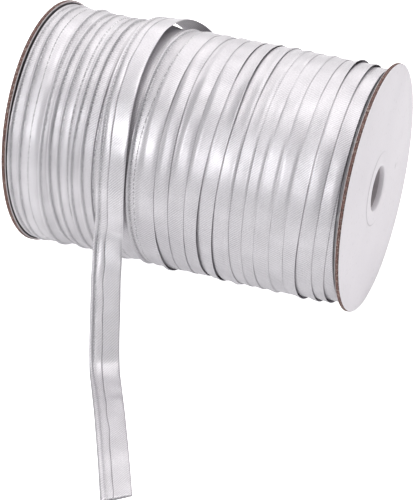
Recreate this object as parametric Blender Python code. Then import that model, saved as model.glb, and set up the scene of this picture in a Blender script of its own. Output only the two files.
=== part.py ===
"""Roll of satin bias tape: a card spool wound full of folded tape, its loose end lying on the floor.

Metres, +Z up. The spool's axis runs along X. The loose end comes over the top of the roll, down its
front (-Y) and out along the floor. The origin is on the floor, under the middle of the whole roll.
"""
import math

import bmesh
import bpy
from mathutils import Vector

# Driving sizes of the spool
FLANGE_RADIUS = 0.045
SPOOL_LENGTH = 0.1257
BOARD = 0.0015
BORE_RADIUS = 0.0082
TUBE_RADIUS = 0.0135
GAP = 0.0003
LEFT_LEAN = 0.039
REST_DEPTH = 0.0001
BASE = -(FLANGE_RADIUS - REST_DEPTH)

# Place of the spool's middle over the origin
SPOOL_PLACE = (0.0009, 0.0462, -BASE)

# Card: the face sinks a little inside the ring where the tube is glued behind it
RING_RADIUS = TUBE_RADIUS
RING_SINK = 0.00015
RING_SLOPE = 0.0005
BORE_ROUND = 0.0007
RIM_ROUND = 0.0002

# Middle of a quarter round, as a share of its radius from either side
ROUND_MIDDLE = 0.3

# Steps around the axis
TURN_STEPS = 48
FLANGE_STEPS = 72
TUBE_STEPS = 40

# Tape: folded width, thickness of its flat part and the heights of its folded edge
TAPE_WIDTH = 0.0105
TAPE_THICK = 0.0010
FOLD_BULGE = 0.00035
EDGE_ROUND = 0.0003
RAW_STEP = 0.0002

# Places across the tape from its folded left edge: its crest, from and to, the dip after it, and
# the raw edge of its flap
CREST_FROM = 0.0006
CREST_TO = 0.0018
DIP = 0.00305
RAW_EDGE = 0.0043

# Winding: ends, and how far the whole of it sinks towards its low front side
WOUND_LEFT = -0.0621
WOUND_RIGHT = 0.0610
WOUND_CORE = TUBE_RADIUS + GAP
LEFT_RADIUS = 0.0429
END_RADIUS = 0.0422
SLUMP = Vector((0.0, -0.00022, -0.00027))

# Outer edge of a turn: length of its steep part, share of its step that is left above that, and
# distance to its crest
EDGE_SLOPE = 0.0002
EDGE_REST = 0.3
FOLD_CREST = 0.0009

# The last turns run left to right and lie over their left neighbours.
# Folded edge at the top of the roll, radius of its crest, height of the step up to it
LEFT_TURNS = (
    (-0.0597, 0.0441, 0.0006),
    (-0.0511, 0.0445, 0.0010),
    (-0.0478, 0.0442, 0.0006),
    (-0.0445, 0.0442, 0.0007),
    (-0.0386, 0.0440, 0.0008),
    (-0.0353, 0.0440, 0.0006),
    (-0.0315, 0.0440, 0.0007),
)

# The turns before them run right to left and lie over their right neighbours.
# Right edge at the top of the roll, radius of its crest, height of the step down from it
RIGHT_TURNS = (
    (-0.0048, 0.0443, 0.0009),
    (0.0002, 0.0441, 0.0007),
    (0.0071, 0.0439, 0.0008),
    (0.0133, 0.0441, 0.0009),
    (0.0183, 0.0442, 0.0010),
    (0.0244, 0.0439, 0.0008),
    (0.0294, 0.0438, 0.0007),
    (0.0339, 0.0438, 0.0007),
    (0.0391, 0.0439, 0.0007),
    (0.0442, 0.0440, 0.0008),
    (0.0488, 0.0440, 0.0008),
    (0.0542, 0.0436, 0.0009),
    (0.0594, 0.0432, 0.0010),
)

# Between the two runs of turns, under the loose end: place at the top of the roll, radius
MEETING = (
    (-0.0272, 0.0435),
    (-0.0270, 0.0438),
    (-0.0261, 0.0440),
    (-0.0168, 0.0434),
    (-0.0165, 0.0441),
    (-0.0156, 0.0444),
    (-0.0125, 0.0441),
)

# How far the turns lean out of square, in metres along the axis for each metre of height
TURN_LEAN = (
    (-0.0621, -0.039),
    (-0.0300, -0.036),
    (-0.0165, 0.000),
    (-0.0050, 0.022),
    (0.0500, 0.032),
    (0.0610, 0.000),
)

# Loose end on the roll: degrees forward from the top, then its left and its right edge, each with
# its place along the axis and the radius to its underside
WRAP = (
    (-104.0, -0.0170, 0.0447, -0.0069, 0.0447),
    (-90.0, -0.0178, 0.0447, -0.0078, 0.0448),
    (-76.0, -0.0193, 0.0446, -0.0096, 0.0452),
    (-64.0, -0.0214, 0.0446, -0.0120, 0.0456),
    (-52.0, -0.0238, 0.0446, -0.0146, 0.0459),
    (-40.0, -0.0260, 0.0445, -0.0168, 0.0458),
    (-28.0, -0.0276, 0.0444, -0.0184, 0.0456),
    (-14.0, -0.0285, 0.0444, -0.0190, 0.0455),
    (0.0, -0.0288, 0.0444, -0.0196, 0.0454),
    (20.0, -0.0288, 0.0444, -0.0192, 0.0452),
    (40.0, -0.0280, 0.0444, -0.0186, 0.0451),
    (60.0, -0.0268, 0.0444, -0.0170, 0.0451),
    (80.0, -0.0263, 0.0445, -0.0163, 0.0451),
    (95.0, -0.0265, 0.0448, -0.0164, 0.0452),
)

# Loose end off the roll: middle of its underside from the spool's middle, and degrees its path
# has turned towards +X
FALL = (
    (-0.0220, -0.0448, -0.0100, 3.0),
    (-0.0220, -0.0459, -0.0132, 5.0),
    (-0.0216, -0.0476, -0.0165, 8.0),
    (-0.0208, -0.0501, -0.0201, 12.0),
    (-0.0196, -0.0543, -0.0242, 16.0),
    (-0.0179, -0.0590, -0.0282, 20.0),
    (-0.0158, -0.0649, -0.0331, 23.0),
    (-0.0136, -0.0711, -0.0386, 25.0),
    (-0.0121, -0.0749, -0.0424, 26.0),
    (-0.0110, -0.0772, BASE + 0.0003, 26.0),
    (-0.0096, -0.0805, BASE, 26.0),
    (-0.0047, -0.0900, BASE, 26.3),
    (0.0004, -0.1000, BASE, 26.3),
    (0.0102, -0.1200, BASE, 26.0),
    (0.0179, -0.1362, BASE, 25.5),
)

# Distance between the stations where its section is drawn
ROUTE_STEP = 0.0032

SHARP_DEGREES = 35.0

# Materials: base colour, roughness
LOOKS = {
    "paper_white": ((0.78, 0.74, 0.78, 1.0), 0.70),
    "tube_card": ((0.72, 0.68, 0.70, 1.0), 0.80),
    "satin_silver": ((0.74, 0.74, 0.76, 1.0), 0.32),
}


def between(rows, place, column=1):
    """Value of one column of a table at a place along its first column, straight between rows."""
    if place <= rows[0][0]:
        return rows[0][column]
    for low, high in zip(rows, rows[1:]):
        if place <= high[0]:
            share = (place - low[0]) / (high[0] - low[0])
            return low[column] + share * (high[column] - low[column])
    return rows[-1][column]


def material(name):
    """The material of one of the looks."""
    made = bpy.data.materials.get(name)
    if made:
        return made
    colour, roughness = LOOKS[name]
    made = bpy.data.materials.new(name)
    made.use_nodes = True
    shader = made.node_tree.nodes["Principled BSDF"]
    shader.inputs["Base Color"].default_value = colour
    shader.inputs["Roughness"].default_value = roughness
    shader.inputs["Metallic"].default_value = 0.0
    made.diffuse_color = colour
    return made


def finish(bm, name, look, parent, collection):
    """A bmesh as a smooth-shaded object under the spool's empty."""
    bmesh.ops.recalc_face_normals(bm, faces=bm.faces)
    mesh = bpy.data.meshes.new(name)
    bm.to_mesh(mesh)
    bm.free()
    mesh.shade_smooth()
    mesh.set_sharp_from_angle(angle=math.radians(SHARP_DEGREES))
    mesh.materials.append(material(look))
    made = bpy.data.objects.new(name, mesh)
    made.parent = parent
    collection.objects.link(made)
    return made


def turned(profile, steps):
    """Closed body of revolution about X from a closed profile of (place along X, radius)."""
    bm = bmesh.new()
    points = [bm.verts.new((along, 0.0, radius)) for along, radius in profile]
    edges = [bm.edges.new(pair) for pair in zip(points, points[1:] + points[:1])]
    bmesh.ops.spin(
        bm, geom=points + edges, cent=(0.0, 0.0, 0.0), axis=(1.0, 0.0, 0.0),
        angle=math.tau, steps=steps, use_merge=True, use_duplicate=False)
    return bm


def flange_profile():
    """Section of a flange, its outer face at +X: rounded rim and bore, sunk inside the ring."""
    ring_foot = RING_RADIUS - RING_SLOPE
    return (
        (0.0, BORE_RADIUS),
        (0.0, FLANGE_RADIUS - RIM_ROUND),
        (RIM_ROUND, FLANGE_RADIUS),
        (BOARD - RIM_ROUND, FLANGE_RADIUS),
        (BOARD, FLANGE_RADIUS - RIM_ROUND),
        (BOARD, RING_RADIUS),
        (BOARD - RING_SINK, ring_foot),
        (BOARD - RING_SINK, BORE_RADIUS + BORE_ROUND),
        (BOARD - RING_SINK - ROUND_MIDDLE * BORE_ROUND, BORE_RADIUS + ROUND_MIDDLE * BORE_ROUND),
        (BOARD - RING_SINK - BORE_ROUND, BORE_RADIUS),
    )


def make_flange(name, side, parent, collection):
    """Round card with its bore. Side +1 is the right one; the left one leans outward at the top."""
    bm = turned(flange_profile(), FLANGE_STEPS)
    inner = SPOOL_LENGTH / 2 - BOARD
    for vert in bm.verts:
        vert.co.x = side * (vert.co.x + inner)
        if side < 0:
            vert.co.x -= LEFT_LEAN * vert.co.z
    everything = bm.verts[:] + bm.edges[:] + bm.faces[:]
    cut = bmesh.ops.bisect_plane(
        bm, geom=everything, plane_co=(0.0, 0.0, BASE), plane_no=(0.0, 0.0, -1.0), clear_outer=True)
    rim = [part for part in cut["geom_cut"] if isinstance(part, bmesh.types.BMEdge)]
    bmesh.ops.contextual_create(bm, geom=rim)
    return finish(bm, name, "paper_white", parent, collection)


def make_tube(parent, collection):
    """Card tube glued between the flanges, its left end cut to the leaning flange."""
    half = SPOOL_LENGTH / 2 - BOARD - GAP
    profile = ((-half, BORE_RADIUS), (-half, TUBE_RADIUS), (half, TUBE_RADIUS), (half, BORE_RADIUS))
    bm = turned(profile, TUBE_STEPS)
    for vert in bm.verts:
        if vert.co.x < 0:
            vert.co.x -= LEFT_LEAN * vert.co.z
    return finish(bm, "core_tube", "tube_card", parent, collection)


def wound_profile():
    """Section of the winding: the stepped edges of its turns, then its ends and its core."""
    points = [(WOUND_LEFT, WOUND_CORE), (WOUND_LEFT, LEFT_RADIUS)]
    for edge, crest, step in LEFT_TURNS:
        points.append((edge, crest - step))
        points.append((edge + EDGE_SLOPE, crest - EDGE_REST * step))
        points.append((edge + FOLD_CREST, crest))
    points.extend(MEETING)
    for edge, crest, step in RIGHT_TURNS:
        points.append((edge - FOLD_CREST, crest))
        points.append((edge, crest - EDGE_REST * step))
        points.append((edge + EDGE_SLOPE, crest - step))
    points.append((WOUND_RIGHT, END_RADIUS))
    points.append((WOUND_RIGHT, WOUND_CORE))
    return points


def make_winding(parent, collection):
    """All the turns as one body. Its turns lean, and its outside sinks a little to the low front."""
    bm = turned(wound_profile(), TURN_STEPS)
    for vert in bm.verts:
        outside = vert.co.yz.length > END_RADIUS - GAP
        lean = between(TURN_LEAN, vert.co.x)
        height = vert.co.z
        if outside:
            vert.co.x += lean * (height - FLANGE_RADIUS)
            vert.co += SLUMP
        elif vert.co.x < 0:
            vert.co.x += lean * (height - FLANGE_RADIUS)
    return finish(bm, "wound_tape", "satin_silver", parent, collection)


def tape_section():
    """Section of the folded tape, left edge first: (across from its middle, up from its underside)."""
    half = TAPE_WIDTH / 2
    flat = TAPE_THICK
    crest = TAPE_THICK + FOLD_BULGE
    return (
        (-half + EDGE_ROUND, 0.0),
        (-half, EDGE_ROUND),
        (-half, crest - 2 * EDGE_ROUND),
        (-half + CREST_FROM, crest),
        (-half + CREST_TO, crest),
        (-half + DIP, flat),
        (-half + RAW_EDGE, flat + RAW_STEP),
        (-half + RAW_EDGE + RAW_STEP, flat),
        (half - EDGE_ROUND, flat),
        (half, flat - EDGE_ROUND),
        (half, EDGE_ROUND),
        (half - EDGE_ROUND, 0.0),
    )


def wrap_rows():
    """Stations of the loose end on the roll: (middle of the underside, direction across)."""
    rows = []
    for degrees, left_along, left_radius, right_along, right_radius in WRAP:
        angle = math.radians(degrees)
        out = Vector((0.0, -math.sin(angle), math.cos(angle)))
        left = Vector((left_along, 0.0, 0.0)) + out * left_radius
        right = Vector((right_along, 0.0, 0.0)) + out * right_radius
        rows.append(((left + right) / 2, (right - left).normalized()))
    return rows


def fall_rows():
    """Stations of the loose end off the roll: (middle of the underside, direction across)."""
    rows = []
    for x, y, z, degrees in FALL:
        angle = math.radians(degrees)
        rows.append((Vector((x, y, z)), Vector((math.cos(angle), math.sin(angle), 0.0))))
    return rows


def smooth_between(before, start, end, after, share):
    """Point on the smooth curve through four rows in turn, a share of the way from start to end."""
    return 0.5 * (
        2 * start
        + (end - before) * share
        + (2 * before - 5 * start + 4 * end - after) * share ** 2
        + (3 * start - before - 3 * end + after) * share ** 3)


def stations():
    """The whole route of the loose end in short steps."""
    rows = wrap_rows() + fall_rows()
    padded = [rows[0]] + rows + [rows[-1]]
    route = []
    for before, start, end, after in zip(padded, padded[1:], padded[2:], padded[3:]):
        steps = max(1, round((end[0] - start[0]).length / ROUTE_STEP))
        for step in range(steps):
            share = step / steps
            middle = smooth_between(before[0], start[0], end[0], after[0], share)
            middle.z = max(middle.z, BASE)
            across = start[1].lerp(end[1], share)
            route.append((middle, across))
    route.append(rows[-1])
    return route


def section_at(route, index):
    """The tape's section set square to its route at one station."""
    before = route[max(index - 1, 0)][0]
    after = route[min(index + 1, len(route) - 1)][0]
    middle, across = route[index]
    along = (after - before).normalized()
    across = (across - along * across.dot(along)).normalized()
    up = along.cross(across)
    return [middle + across * side + up * rise for side, rise in tape_section()]


def make_loose_end(parent, collection):
    """The loose end as one strip, its section drawn out from station to station."""
    route = stations()
    bm = bmesh.new()
    face = bm.faces.new([bm.verts.new(point) for point in section_at(route, 0)])
    for index in range(1, len(route)):
        drawn = bmesh.ops.extrude_face_region(bm, geom=[face, *face.edges, *face.verts])
        face = next(part for part in drawn["geom"] if isinstance(part, bmesh.types.BMFace))
        for vert, point in zip(face.verts, section_at(route, index)):
            vert.co = point
    return finish(bm, "loose_end", "satin_silver", parent, collection)


def main():
    """Clear the scene and build the roll."""
    for old in list(bpy.data.objects):
        bpy.data.objects.remove(old, do_unlink=True)
    collection = bpy.data.collections.new("bias_tape_roll")
    bpy.context.scene.collection.children.link(collection)
    spool = bpy.data.objects.new("spool", None)
    spool.location = SPOOL_PLACE
    collection.objects.link(spool)
    make_tube(spool, collection)
    make_flange("flange_left", -1, spool, collection)
    make_flange("flange_right", 1, spool, collection)
    make_winding(spool, collection)
    make_loose_end(spool, collection)
    bpy.context.view_layer.update()


main()
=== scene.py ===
"""Looks of the roll of satin bias tape on its card spool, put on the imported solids.

Metres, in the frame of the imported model. A place on the roll is given from the spool's middle: its
place along the axis (+X), its degrees forward from the top of the roll (90 is the front, -Y), and
its radius. Lengths across the tape are shares of its folded width, from its folded left edge.
"""

import math

import bmesh
import bpy
import numpy as np
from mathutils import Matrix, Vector


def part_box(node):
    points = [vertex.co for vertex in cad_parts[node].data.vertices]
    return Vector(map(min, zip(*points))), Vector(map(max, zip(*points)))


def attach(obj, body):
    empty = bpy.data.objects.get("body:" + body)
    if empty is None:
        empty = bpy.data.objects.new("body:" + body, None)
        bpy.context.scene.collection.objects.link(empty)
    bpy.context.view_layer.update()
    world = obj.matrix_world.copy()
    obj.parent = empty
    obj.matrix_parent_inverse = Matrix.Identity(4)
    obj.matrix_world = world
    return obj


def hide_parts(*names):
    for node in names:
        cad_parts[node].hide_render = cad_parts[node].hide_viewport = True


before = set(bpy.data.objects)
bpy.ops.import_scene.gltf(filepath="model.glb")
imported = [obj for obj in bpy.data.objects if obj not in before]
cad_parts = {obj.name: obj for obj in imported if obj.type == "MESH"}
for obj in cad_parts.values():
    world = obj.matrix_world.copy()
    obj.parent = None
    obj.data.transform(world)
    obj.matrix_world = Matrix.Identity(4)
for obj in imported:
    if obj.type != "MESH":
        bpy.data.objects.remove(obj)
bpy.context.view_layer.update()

# Spool, as in the solids
FLANGE_RADIUS = 0.045
SPOOL_LENGTH = 0.1257
BOARD = 0.0015
BORE_RADIUS = 0.0082
TUBE_RADIUS = 0.0135
LEFT_LEAN = 0.039
REST_DEPTH = 0.0001
BASE = -(FLANGE_RADIUS - REST_DEPTH)
flange_low, flange_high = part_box("flange_right")
MIDDLE = Vector((
    flange_high.x - SPOOL_LENGTH / 2,
    (flange_low.y + flange_high.y) / 2,
    flange_high.z - FLANGE_RADIUS))

# Tape and its winding
MM = 0.001
TAPE_WIDTH = 0.0105
WOUND_RADIUS = 0.044
SLUMP = Vector((0.0, -0.00022, -0.00027))
STATION_DEGREES = 3
PER_TURN = 360 // STATION_DEGREES
CELL = 0.0002
CELLS = np.arange(-0.0645, 0.0625, CELL)

# Radius of the buried turns that the last ones lie on: place along the axis, radius
BURIED = (
    (-0.0640, 0.0433),
    (-0.0612, 0.0432),
    (-0.0598, 0.0425),
    (-0.0510, 0.0422),
    (-0.0485, 0.0420),
    (-0.0450, 0.0413),
    (-0.0300, 0.0412),
    (-0.0170, 0.0421),
    (-0.0100, 0.0423),
    (0.0200, 0.0421),
    (0.0400, 0.0420),
    (0.0530, 0.0415),
    (0.0570, 0.0414),
    (0.0620, 0.0416),
)
BURIED_ENDS = (-0.0616, 0.0610)
BURIED_CLEAR = 0.0002
BURIED_TUBE_CLEAR = 0.0003
LEFT_FLANGE_CLEAR = 0.0002
RIGHT_FLANGE_CLEAR = 0.0005

# The buried turns lean with the left flange from this place along the axis, more and more over
# this length, and stay this far off it. Those beyond this radius slump with the last turns
BURIED_LEAN_FROM = -0.030
BURIED_LEAN_OVER = 0.030
BURIED_LEAN_CLEAR = 0.0016
SLUMP_FROM = 0.040

# Folded left edge of each of the last turns that run left to right, in mm at these degrees. The run
# starts and ends at these degrees of it, with its edge here
LEFT_DEGREES = (0, 60, 90, 120)
LEFT_EDGES = (
    (-62.9, -62.0, -61.1, -60.2),
    (-59.7, -57.8, -57.6, -57.5),
    (-51.1, -50.1, -49.7, -49.2),
    (-47.8, -47.2, -46.1, -44.5),
    (-44.5, -43.8, -42.7, -40.7),
    (-38.6, -38.0, -38.1, -36.4),
    (-35.3, -34.7, -33.5, -32.4),
    (-31.5, -30.5, -29.6, -28.6),
    (-27.0, -26.4, -25.8, -25.2),
)
LEFT_START = (-120, -62.6)
LEFT_END = (3180, -19.5)
LEFT_RAW = 0.42

# Right edge of each of the last turns that run right to left, in the same way
RIGHT_DEGREES = (0, 30, 60, 90, 120)
RIGHT_EDGES = (
    (59.2, 59.3, 59.2, 59.8, 60.0),
    (59.4, 59.6, 59.4, 57.9, 55.2),
    (54.2, 54.7, 54.2, 53.1, 51.2),
    (48.8, 49.2, 49.0, 47.5, 45.1),
    (44.2, 43.8, 43.1, 42.5, 40.6),
    (39.1, 38.3, 37.6, 37.5, 36.0),
    (33.9, 33.0, 32.5, 31.5, 30.5),
    (29.4, 28.2, 27.9, 27.3, 26.3),
    (24.4, 23.5, 22.8, 22.5, 22.2),
    (18.3, 18.6, 17.7, 16.5, 15.1),
    (13.3, 13.1, 11.8, 10.6, 9.9),
    (7.1, 6.3, 6.0, 5.8, 5.0),
    (0.2, -0.8, -0.7, 0.0, -0.2),
    (-4.8, -5.9, -6.0, -5.6, -4.2),
)
LAST_DEGREES = 360 * (len(RIGHT_EDGES) - 1)
RIGHT_START = (-201, 60.5)
RIGHT_END = (LAST_DEGREES + 256, -6.9)

# The folds of the right-hand turns are pressed flat, but open up again in the last one from and
# over these degrees of it
FLATTENED = 0.12
UNFOLDED_FROM = -160
UNFOLDED_OVER = 40

# Last full turn, whose folds show: degrees, folded width in mm, share of it where the raw edge lies
LAST_TURN = (
    (-160, 10.5, 0.30),
    (-110, 10.6, 0.42),
    (-40, 11.3, 0.52),
    (0, 11.7, 0.52),
    (30, 10.9, 0.41),
    (60, 10.5, 0.27),
    (120, 10.9, 0.29),
    (256, 10.1, 0.42),
)

# Right edges that stand off the turn below: turn, degrees at its start, most and end, rise in mm
LIFTS = (
    (1, -50, -10, 30, 0.5),
    (2, -60, -20, 25, 0.9),
    (3, -60, -22, 20, 0.9),
    (8, -30, 5, 30, 0.4),
    (9, -60, 10, 60, 0.7),
    (9, 60, 125, 170, 0.8),
    (10, -40, 0, 30, 0.4),
    (10, 50, 105, 160, 0.8),
    (2, 110, 145, 190, 0.7),
    (3, 70, 140, 190, 0.8),
    (1, 100, 145, 190, 0.9),
    (13, -10, 30, 60, 0.3),
    (13, 90, 130, 170, 0.7),
    (12, 10, 50, 90, 0.3),
)

# Thickness of each right-hand turn at its right edge, as a share of the usual one, at its front. The
# painted shade along that edge follows the same share
PRESSED = (1.0, 1.0, 1.0, 0.9, 0.40, 0.32, 0.28, 0.30, 0.9, 1.0, 0.85, 0.7, 0.6, 0.7)
PRESSED_DEGREES = 60

# An edge's line is softened over these degrees, and a turn bends over what it lies on, softened
# over these cells and then settled on it. A lift starts at this share of the width
EDGE_SOFT_DEGREES = 16
BED_SOFT = 4.0
SETTLE_SOFT = 2.5
SETTLE_TIMES = 3
LIFT_FROM = 0.55

# How far lines and heights waver along the turns: edges in metres, raw edges as shares of the
# width, fullness as a share
LEFT_EDGE_WAVER = 0.00010
RIGHT_EDGE_WAVER = 0.00009
RAW_WAVER = 0.012
LEFT_FULL_WAVER = 0.16
RIGHT_FULL_WAVER = 0.10

# Top of the folded tape: share of the width up to the raw edge, height in mm. The last row is the
# raw edge itself, wherever that lies
FLAP = (
    (0.0, 0.30),
    (0.008, 0.60),
    (0.026, 0.87),
    (0.050, 1.00),
    (0.075, 0.97),
    (0.097, 0.74),
    (0.115, 0.54),
    (0.158, 0.52),
    (0.190, 0.66),
    (0.260, 0.74),
    (0.340, 0.72),
    (1.0, 0.67),
)
FLAT_FLAP = 0.52

# Top beyond the raw edge, in the same way. The raw edge drops to its foot over this share of the
# width. The right fold is thinner where the turn is pressed
FOOT_OVER = 0.014
FOOT_HEIGHT = 0.47
BEYOND = (
    (0.58, 0.46),
    (0.70, 0.56),
    (0.82, 0.57),
    (0.91, 0.46),
)
RIGHT_FOLD = (
    (0.97, 0.35),
    (0.995, 0.27),
    (1.0, 0.20),
)

# Shares of the width where a turn's section is drawn: on the flap, from its raw edge, and beyond
# that as shares of the rest
FLAP_SHARES = [share for share, _ in FLAP[:9]]
MIDDLE_SHARE = 0.72
RAW_STEPS = (-0.025, -0.003, 0.012, 0.050)
REST_SHARES = (0.13, 0.26, 0.39, 0.52, 0.64, 0.75, 0.85, 0.92, 0.965, 0.990, 1.0)
UNDER_SHARES = (0.06, 0.012)
UNDER_CLEAR = 0.00003

# How much painted shade each column of a turn's section takes, by its left fold, in the groove beside
# it and along its right edge, or how frayed it is, as shares
FOLD_SHADE_COLUMNS = {0: 0.9, 1: 0.4, 5: 0.2, 6: 1.0, 7: 1.0, 8: 0.3}
RAW_COLUMNS = {11: 1.0, 12: 1.0}
EDGE_SHADE_COLUMNS = {24: 0.3, 25: 1.0, 26: 1.0}

# Loose end on the roll: degrees, left edge, its radius, right edge, its radius
WRAP = (
    (-106, -0.0169, 0.0430, -0.0068, 0.0433),
    (-97, -0.0173, 0.0433, -0.0074, 0.0437),
    (-88, -0.0179, 0.0437, -0.0080, 0.0442),
    (-76, -0.0193, 0.0442, -0.0096, 0.0448),
    (-64, -0.0214, 0.0445, -0.0120, 0.0455),
    (-52, -0.0238, 0.0446, -0.0146, 0.0459),
    (-40, -0.0260, 0.0445, -0.0168, 0.0458),
    (-28, -0.0276, 0.0444, -0.0184, 0.0456),
    (-14, -0.0285, 0.0444, -0.0190, 0.0455),
    (0, -0.0288, 0.0444, -0.0196, 0.0454),
    (20, -0.0288, 0.0444, -0.0192, 0.0452),
    (40, -0.0280, 0.0444, -0.0186, 0.0449),
    (60, -0.0268, 0.0444, -0.0170, 0.0449),
    (80, -0.0263, 0.0445, -0.0163, 0.0450),
    (95, -0.0265, 0.0448, -0.0164, 0.0452),
)

# Loose end off the roll: middle of its underside from the spool's middle, degrees turned to +X
FALL = (
    (-0.0220, -0.0448, -0.0100, 3),
    (-0.0220, -0.0459, -0.0132, 5),
    (-0.0216, -0.0476, -0.0165, 8),
    (-0.0208, -0.0501, -0.0201, 12),
    (-0.0196, -0.0543, -0.0242, 16),
    (-0.0179, -0.0590, -0.0282, 20),
    (-0.0158, -0.0649, -0.0331, 23),
    (-0.0136, -0.0711, -0.0384, 25),
    (-0.0122, -0.0747, -0.0417, 26),
    (-0.0112, -0.0770, BASE + 0.0014, 26),
    (-0.0097, -0.0803, BASE + 0.0003, 26),
    (-0.0081, -0.0834, BASE, 26),
    (-0.0047, -0.0900, BASE, 26.3),
    (0.0004, -0.1000, BASE, 26.3),
    (0.0102, -0.1200, BASE, 26),
    (0.0179, -0.1362, BASE, 25.5),
)
ROUTE_STEP = 0.0016

# Cloth of the loose end, from the raw edge of its right flap round both folds to the raw edge of
# its left flap: share of the width and height in mm of the middle of the cloth where the tape
# hangs, then both where it lies pressed flat on the floor
CLOTH = 0.00022
CLOTH_PATH = (
    (0.36, 0.45, 0.36, 0.40),
    (0.46, 0.46, 0.46, 0.41),
    (0.60, 0.47, 0.60, 0.42),
    (0.74, 0.48, 0.74, 0.42),
    (0.86, 0.50, 0.86, 0.42),
    (0.94, 0.49, 0.94, 0.41),
    (0.980, 0.43, 0.980, 0.37),
    (0.997, 0.32, 0.997, 0.28),
    (0.990, 0.20, 0.990, 0.18),
    (0.96, 0.14, 0.96, 0.13),
    (0.88, 0.12, 0.88, 0.12),
    (0.70, 0.12, 0.70, 0.12),
    (0.50, 0.12, 0.50, 0.12),
    (0.30, 0.12, 0.30, 0.12),
    (0.12, 0.13, 0.12, 0.13),
    (0.035, 0.18, 0.035, 0.18),
    (0.006, 0.34, 0.006, 0.32),
    (0.002, 0.58, 0.002, 0.54),
    (0.016, 0.80, 0.020, 0.74),
    (0.040, 0.93, 0.060, 0.86),
    (0.066, 0.92, 0.110, 0.88),
    (0.094, 0.74, 0.145, 0.78),
    (0.114, 0.53, 0.175, 0.60),
    (0.170, 0.52, 0.215, 0.57),
    (0.205, 0.67, 0.250, 0.63),
    (0.265, 0.77, 0.300, 0.68),
    (0.335, 0.74, 0.360, 0.64),
    (0.390, 0.66, 0.400, 0.57),
    (0.430, 0.59, 0.430, 0.49),
)

# Rows past the first of these are the left flap, and rows higher than the second, in mm, are the
# top. The top of the left flap wavers in fullness about the third, in metres
LEFT_FOLD_ROW = 15
TOP_LEVEL = 0.4
FOLD_LEVEL = 0.0006
CLOTH_FULL_WAVER = 0.14
CLOTH_RAW_WAVER = 0.014

# Its raw edge wavers only beyond this share of the width, fully so after this much more
RAW_DRIFT_FROM = 0.25
RAW_DRIFT_OVER = 0.15

# From this far before it lands the tape is pressed flat, fully so after this length. It lands
# where it is this near the floor
PRESS_BEFORE = 0.004
PRESS_OVER = 0.016
LANDED = 0.0005

# Dents and swells in the top of the loose end: distance past its landing, reach, share of the
# width where each begins and where it is whole, height. All fade out over the last shares of the
# width before this one, beside the right fold
DENTS = (
    (-0.001, 0.0016, 0.45, 0.60, 0.00020),
    (0.0105, 0.0018, 0.50, 0.70, -0.00028),
    (0.0140, 0.0016, 0.50, 0.70, 0.00026),
    (-0.012, 0.0030, 0.45, 0.90, -0.00014),
    (-0.030, 0.0040, 0.50, 0.85, 0.00018),
    (-0.040, 0.0030, 0.50, 0.85, -0.00012),
    (-0.064, 0.0026, 0.50, 0.90, 0.00018),
    (-0.073, 0.0022, 0.50, 0.85, -0.00016),
    (-0.082, 0.0028, 0.50, 0.90, 0.00018),
    (-0.091, 0.0024, 0.50, 0.85, -0.00014),
)
DENT_END = 0.985
DENT_END_OVER = 0.06

# Cut end: how far each side runs on, and how the top layer opens over the last of its length
CUT_LEFT = 0.0019
CUT_RIGHT = -0.0006
MOUTH_REACH = 0.010
MOUTH_RISE = 0.00045

# How much painted shade each row of the cloth's path takes, at its left fold and in the groove beside
# it, or how frayed it is, as shares, how much of the painted shade is left on the floor, and how much
# of the fray shows on the roll and where the tape hangs, with the change from one to the other over
# this length
CLOTH_HOLLOW_SHADES = {16: 0.2, 22: 0.9, 23: 0.9, 24: 0.4}
CLOTH_RAW_EDGES = {-1: 0.8, -2: 0.3}
FLOOR_HOLLOW_SHADE = 0.45
ROLL_FRAY = 0.15
HANGING_FRAY = 0.75
FRAY_OVER = 0.010

# Where the loose end's pattern starts along the tape
PATTERN_START = 0.5

random = np.random.default_rng(11)


# Lines and curves
def columns_of(rows):
    """The columns of a table, each as an array."""
    return np.array(rows).T


def waver(length, shortest, longest, waves=7):
    """Smooth uneven line of that many samples, about 0, most of it between -1 and 1."""
    line = np.zeros(length)
    steps = np.arange(length)
    for _ in range(waves):
        period = random.uniform(shortest, longest)
        line += np.sin(steps * math.tau / period + random.uniform(0.0, math.tau))
    return line / math.sqrt(waves)


def softened(line, sigma):
    """A row of samples with its sharp changes spread over sigma samples."""
    reach = int(3 * sigma) + 1
    weights = np.exp(-0.5 * (np.arange(-reach, reach + 1) / sigma) ** 2)
    padded = np.concatenate([np.full(reach, line[0]), line, np.full(reach, line[-1])])
    return np.convolve(padded, weights / weights.sum(), mode="valid")


def smooth_between(before, start, end, after, share):
    """Point on the smooth curve through four rows in turn, a share of the way from start to end."""
    return 0.5 * (
        2 * start
        + (end - before) * share
        + (2 * before - 5 * start + 4 * end - after) * share ** 2
        + (3 * start - before - 3 * end + after) * share ** 3)


def on_roll(along, degrees, radius):
    """Points in the row's frame from places on the roll."""
    angle = np.radians(degrees)
    return np.stack([
        MIDDLE.x + along,
        MIDDLE.y - radius * np.sin(angle),
        MIDDLE.z + radius * np.cos(angle)], axis=-1)


# Making pieces
def finished(bm, name, look, sharp=40.0):
    """A bmesh as a piece of the object that rides on it."""
    mesh = bpy.data.meshes.new(name)
    bm.to_mesh(mesh)
    bm.free()
    mesh.shade_smooth()
    mesh.set_sharp_from_angle(angle=math.radians(sharp))
    mesh.materials.append(look)
    piece = bpy.data.objects.new(name, mesh)
    bpy.context.scene.collection.objects.link(piece)
    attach(piece, "root")
    return piece


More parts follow.
